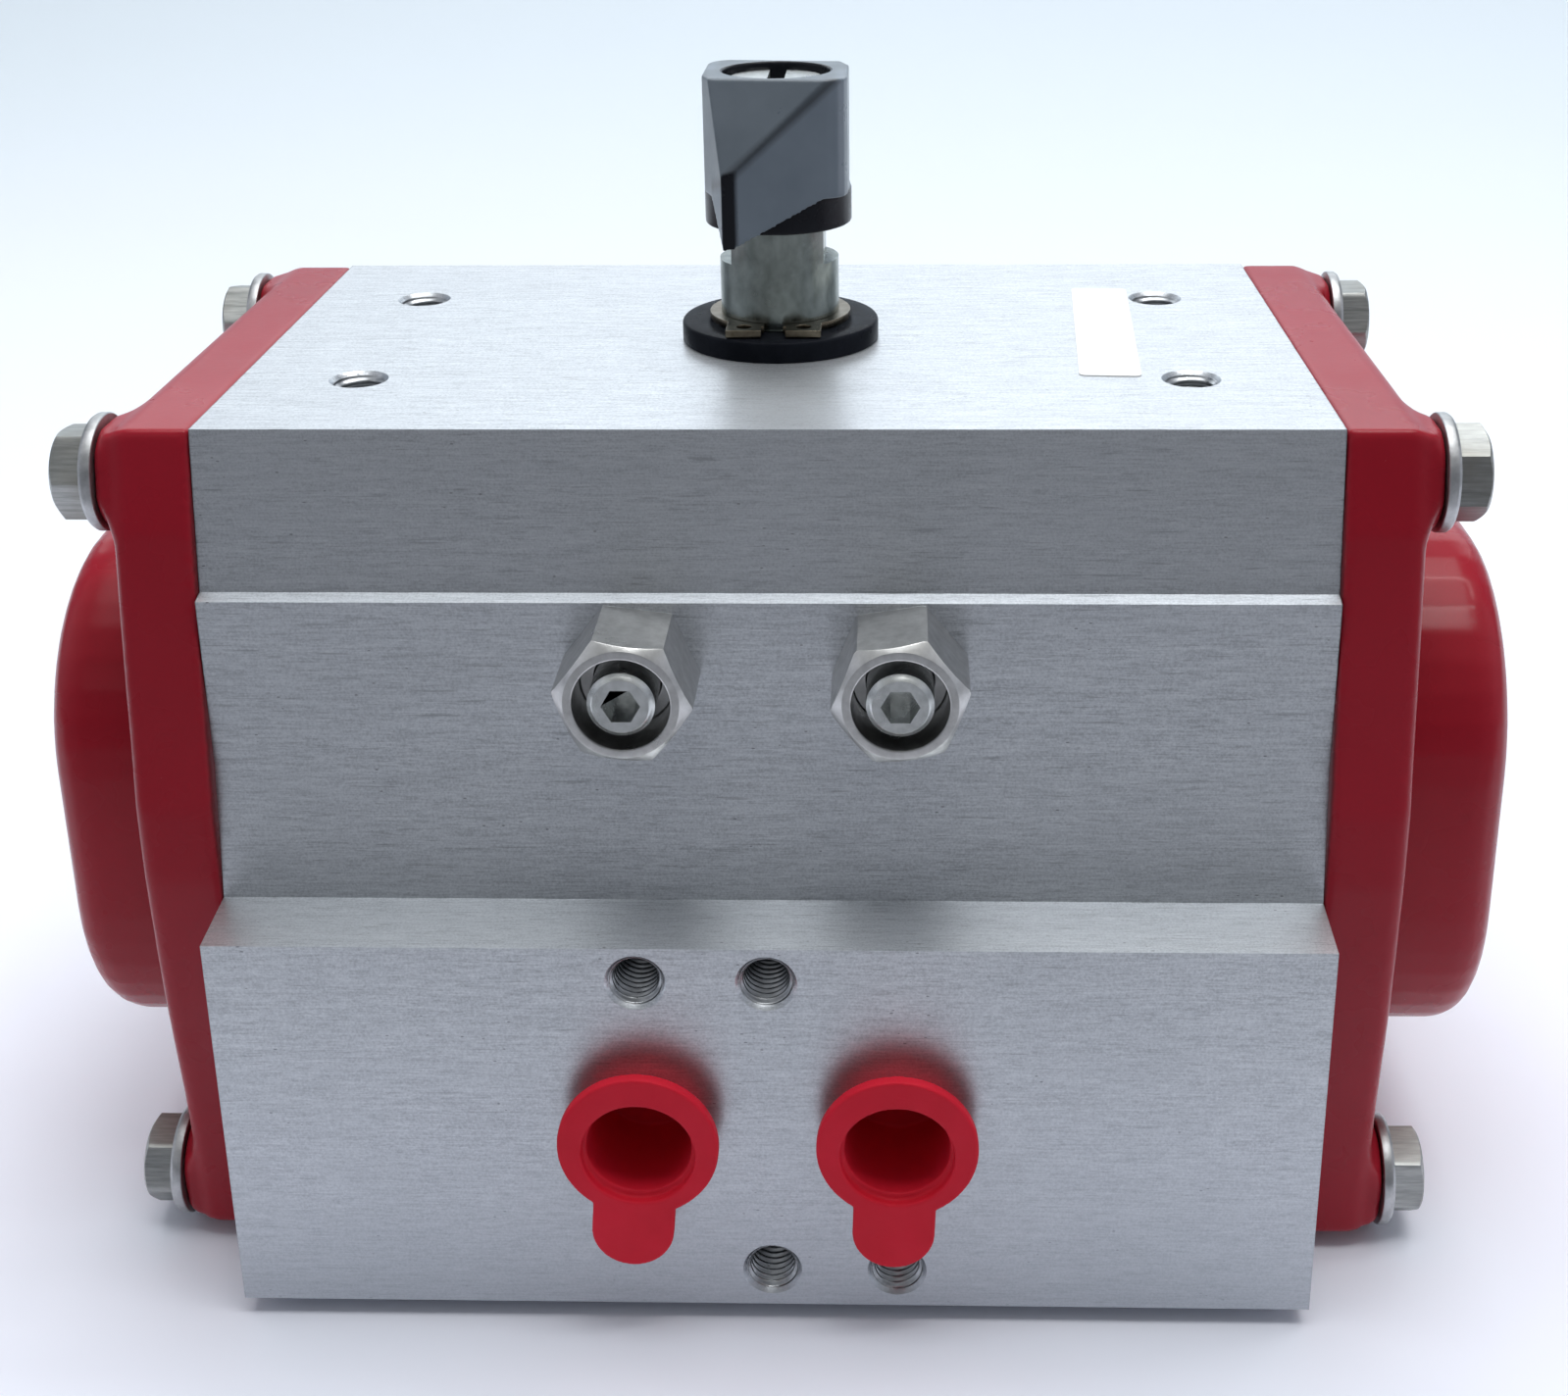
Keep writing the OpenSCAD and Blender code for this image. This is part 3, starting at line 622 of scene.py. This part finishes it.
def thread_outer(origin, axis, r, pitch, t0, t1, seg=48, per=7, depth=None):
    """A closed threaded rod between t0 and t1 along the axis."""
    ax = Vector(axis).normalized()
    a = ax.orthogonal().normalized()
    b = ax.cross(a)
    d = depth or 0.55 * pitch
    rows = max(2, int((t1 - t0) / pitch * per))
    verts, faces = [], []
    for j in range(rows + 1):
        t = t0 + (t1 - t0) * j / rows
        for i in range(seg):
            u = 2 * math.pi * i / seg
            ph = ((t / pitch) - i / seg) % 1.0
            tri = 1 - abs(2 * ph - 1)
            h = min(1.0, max(0.0, (tri - 0.15) / 0.7))
            verts.append((Vector(origin) + (a * math.cos(u) + b * math.sin(u)) * (r - d * h) + ax * t) * MM)
    for j in range(rows):
        for i in range(seg):
            k = (i + 1) % seg
            faces.append((j * seg + i, j * seg + k, (j + 1) * seg + k, (j + 1) * seg + i))
    faces.append(tuple(range(seg)))
    faces.append(tuple(rows * seg + i for i in reversed(range(seg))))
    return verts, faces


# corner angles of the visible heads, measured in the plane of the cap
spots = [(-27.5, 4.2), (-26.2, 79.6), (27.5, 4.2), (26.2, 79.6)]
turn = {"left": (10, 57, 33, 48), "right": (18, 22, 51, 5)}
for side, s in (("left", -1), ("right", 1)):
    parts, wparts = [], []
    for (y, z), rot in zip(spots, turn[side]):
        parts.append(hex_solid("h", None, (s * 62.02, y, z), (s, 0, 0), 8.0, 3.17, 3.82, rot=math.radians(rot), dish=0.14,
                               ab=((0, 1, 0), (0, 0, 1)), slope=31.0))
        parts.append(thread_outer((0, y, z), (s, 0, 0), 2.44, 0.8, 36, 62.05))
        wparts.append(revolve([(2.7, 60.83), (2.7, 61.92), (2.8, 61.98), (5.20, 61.98), (5.30, 61.96), (5.47, 61.72), (5.5, 61.66), (5.5, 60.98),
                               (5.47, 60.88), (5.38, 60.82), (2.8, 60.82)], (0, y, z), (s, 0, 0)))
    o = obj_from("vis_cap_bolts_" + side, *join(parts), MAT["stainless_steel"], node="cap_bolts_" + side, sharp=24)
    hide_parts("cap_bolts_" + side)
    o = obj_from("vis_cap_washers_" + side, *join(wparts), MAT["washer_steel"], node="cap_washers_" + side, sharp=32)
    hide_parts("cap_washers_" + side)

# ------------------------------------------------------------------ travel stops
for side, s, rot in (("left", -1, -7.2), ("right", 1, 8.7)):
    v, f = hex_solid("n", None, (s * 12.2, -34.02, 63.8), (0, -1, 0), 10.9, 8.68, 5.08, bore=4.3, bore_depth=5.2, through=3.1,
                     rot=math.radians(rot), ab=((1, 0, 0), (0, 0, 1)), slope=37.0)
    o = obj_from("vis_stop_nut_" + side, v, f, MAT["turned_stainless"], node="stop_nut_" + side, sharp=24)
    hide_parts("stop_nut_" + side)

for side in ("left", "right"):
    bevel(copy_node("stop_screw_" + side), 0.12, 2)
    p = copy_node("port_plug_" + side, dissolve=False)
    soften(p, 0.13, 6, 0.5)

soften(copy_node("position_indicator", dissolve=False), 0.15, 9, 0.5)
bevel(copy_node("indicator_screw"), 0.12, 2)
bevel(copy_node("pinion_shaft"), 0.10, 2)
bevel(copy_node("snap_ring"), 0.08, 2)
v, f = revolve([(6.05, 85.12), (6.05, 87.12), (6.13, 87.2), (9.72, 87.2), (9.86, 87.15), (9.96, 87.03), (10.0, 86.88), (10.0, 85.25),
                (9.95, 85.13), (9.85, 85.1), (6.1, 85.1)], (0, 0, 0), (0, 0, 1), seg=160)
o = obj_from("vis_top_thrust_washer", v, f, MAT[slot_of["top_thrust_washer"]], node="top_thrust_washer", sharp=50)
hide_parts("top_thrust_washer")
bevel(copy_node("centring_ring"), 0.15, 2)

# ------------------------------------------------------------------ stage
def sweep():
    w, y0, y1, rad, top = 3.0, -2.5, 0.55, 0.5, 2.4
    prof = [(y0, 0.0), (-1.0, 0.0), (-0.3, 0.0), (0.2, 0.0), (y1, 0.0)]
    for i in range(1, 17):
        a = math.pi / 2 * i / 16
        prof.append((y1 + rad * math.sin(a), rad - rad * math.cos(a)))
    prof.append((y1 + rad, top))
    v, f = [], []
    z0 = -2.0 * MM
    for y, z in prof:
        v += [(-w, y, z + z0), (w, y, z + z0)]
    for i in range(len(prof) - 1):
        f.append((2 * i, 2 * i + 1, 2 * i + 3, 2 * i + 2))
    me = bpy.data.meshes.new("backdrop")
    me.from_pydata(v, [], f)
    ob = bpy.data.objects.new("backdrop", me)
    scene.collection.objects.link(ob)
    for p in me.polygons:
        p.use_smooth = True
    return ob


floor = sweep()
t = Tree("backdrop").set(rough=0.8, ior=1.3)
px, py_, pz = t.position()
# painted shade: the backdrop colour darkens towards the back and up the wall, standing in for light falling off
painted_falloff_backdrop = t.ramp(t.maprange(py_, 0.0, 1.1, 0, 1), [(0.0, (0.88, 0.90, 0.985)), (0.14, (0.84, 0.86, 0.93)), (0.40, (0.73, 0.77, 0.81)),
                                              (0.60, (0.68, 0.74, 0.79)), (0.80, (0.60, 0.67, 0.74))])
# painted shadow: the floor in front of the object, mostly out of view, is coloured grey, a dark band that darkens
# what the front faces reflect
painted_shade_front_floor = t.ramp(t.maprange(py_, -0.5, 0.0, 0, 1), [(0.0, (0.36, 0.365, 0.39)), (0.40, (0.31, 0.315, 0.34)), (0.66, (0.27, 0.275, 0.30)),
                                               (0.74, (0.34, 0.345, 0.37)), (0.81, (0.62, 0.63, 0.68)), (0.87, (0.88, 0.90, 0.985))])
col = t.mix(t.math("GREATER_THAN", py_, -0.03), painted_shade_front_floor, painted_falloff_backdrop)
t.link(col, t.b.inputs["Base Color"])
floor.data.materials.append(t.m)

# ------------------------------------------------------------------ light
world = bpy.data.worlds.new("world")
scene.world = world
world.use_nodes = True
wt = world.node_tree
wt.nodes.clear()
wo = wt.nodes.new("ShaderNodeOutputWorld")
bg = wt.nodes.new("ShaderNodeBackground")
tc = wt.nodes.new("ShaderNodeTexCoord")
sep = wt.nodes.new("ShaderNodeSeparateXYZ")
wt.links.new(tc.outputs["Generated"], sep.inputs[0])
rz = wt.nodes.new("ShaderNodeValToRGB")
e = rz.color_ramp.elements
e[0].position, e[0].color = 0.0, (0.10, 0.105, 0.12, 1)
e[1].position, e[1].color = 1.0, (0.34, 0.35, 0.36, 1)
el = e.new(0.50)
el.color = (0.055, 0.06, 0.07, 1)
el = e.new(0.68)
el.color = (0.13, 0.135, 0.15, 1)
mr = wt.nodes.new("ShaderNodeMapRange")
mr.inputs[1].default_value, mr.inputs[2].default_value = -1, 1
wt.links.new(sep.outputs[2], mr.inputs[0])
wt.links.new(mr.outputs[0], rz.inputs[0])
wt.links.new(rz.outputs[0], bg.inputs[0])
sq = wt.nodes.new("ShaderNodeMath")
sq.operation = "POWER"
ab = wt.nodes.new("ShaderNodeMath")
ab.operation = "ABSOLUTE"
wt.links.new(sep.outputs[0], ab.inputs[0])
wt.links.new(ab.outputs[0], sq.inputs[0])
sq.inputs[1].default_value = 3.0
ml = wt.nodes.new("ShaderNodeMath")
ml.operation = "MULTIPLY_ADD"
wt.links.new(sq.outputs[0], ml.inputs[0])
ml.inputs[1].default_value = 5.0
ml.inputs[2].default_value = 0.9
wt.links.new(ml.outputs[0], bg.inputs[1])
wt.links.new(bg.outputs[0], wo.inputs[0])


def area(name, loc, aim, size, power, color=(1, 1, 1), size_y=None, spread=math.pi):
    d = bpy.data.lights.new(name, "AREA")
    d.shape = "RECTANGLE" if size_y else "SQUARE"
    d.size = size
    if size_y:
        d.size_y = size_y
    d.energy = power
    d.color = color
    d.spread = spread
    o = bpy.data.objects.new(name, d)
    scene.collection.objects.link(o)
    o.location = loc
    o.rotation_mode = "QUATERNION"
    o.rotation_quaternion = (Vector(aim) - Vector(loc)).to_track_quat("-Z", "Y")
    return o


area("ceiling", (0.0, 0.12, 1.1), (0, 0.12, 0), 0.9, 8.6, (0.97, 0.99, 1.0), 1.0)
area("tube_front", (0.50, -0.33, 1.5), (0.40, 0.0, 0.05), 1.0, 3.2, (1.0, 1.0, 0.99), 0.05)
area("tube_back", (0.50, 0.35, 1.5), (0.40, 0.0, 0.05), 1.0, 3.2, (1.0, 1.0, 0.99), 0.05)
area("back_panel", (0.0, 1.0, 0.52), (0, 0, 0.10), 1.8, 5.5, (0.96, 0.99, 1.0), 0.80)
area("window", (-0.25, -1.5, 0.95), (0, 0, 0.06), 1.3, 0.5, (0.95, 0.98, 1.0), 0.34)
